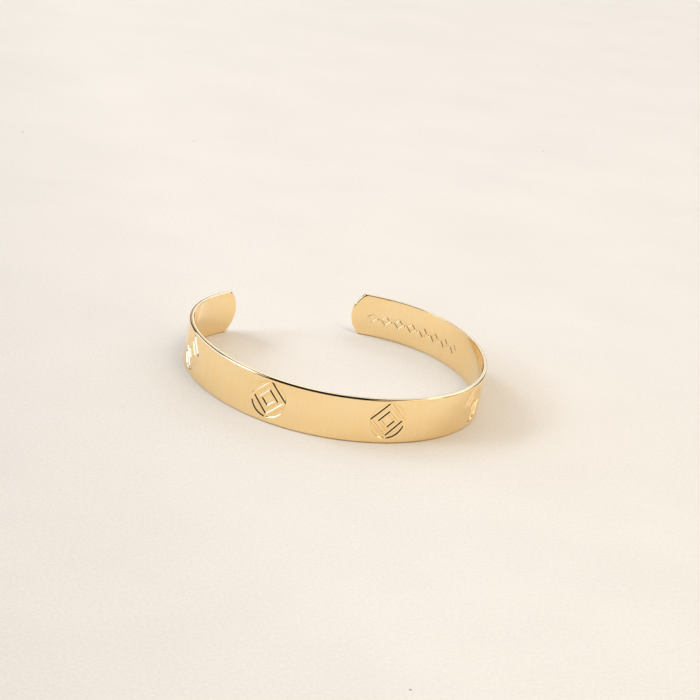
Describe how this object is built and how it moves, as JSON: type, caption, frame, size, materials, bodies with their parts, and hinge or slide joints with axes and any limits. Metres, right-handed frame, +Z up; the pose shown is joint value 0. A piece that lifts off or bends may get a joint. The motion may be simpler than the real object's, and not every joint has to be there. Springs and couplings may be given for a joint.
{
  "type": "cuff bracelet",
  "caption": "Flat metal cuff bracelet bent round an open oval, with bowed ends and a row of stamped round geometric medallions.",
  "frame": {"origin": "centre of the cuff's overall box, on the level of its lower edge", "axes": "+Z up along the band's width, the plain front of the band faces -Y and the opening faces +Y, X across the wrist"},
  "size_m": [0.0602, 0.052, 0.009],
  "materials": {
    "gold_plated_brass": "mirror polished gold plating"
  },
  "bodies": {
    "root": {"cuff_band": "gold_plated_brass"}
  },
  "joints": []
}
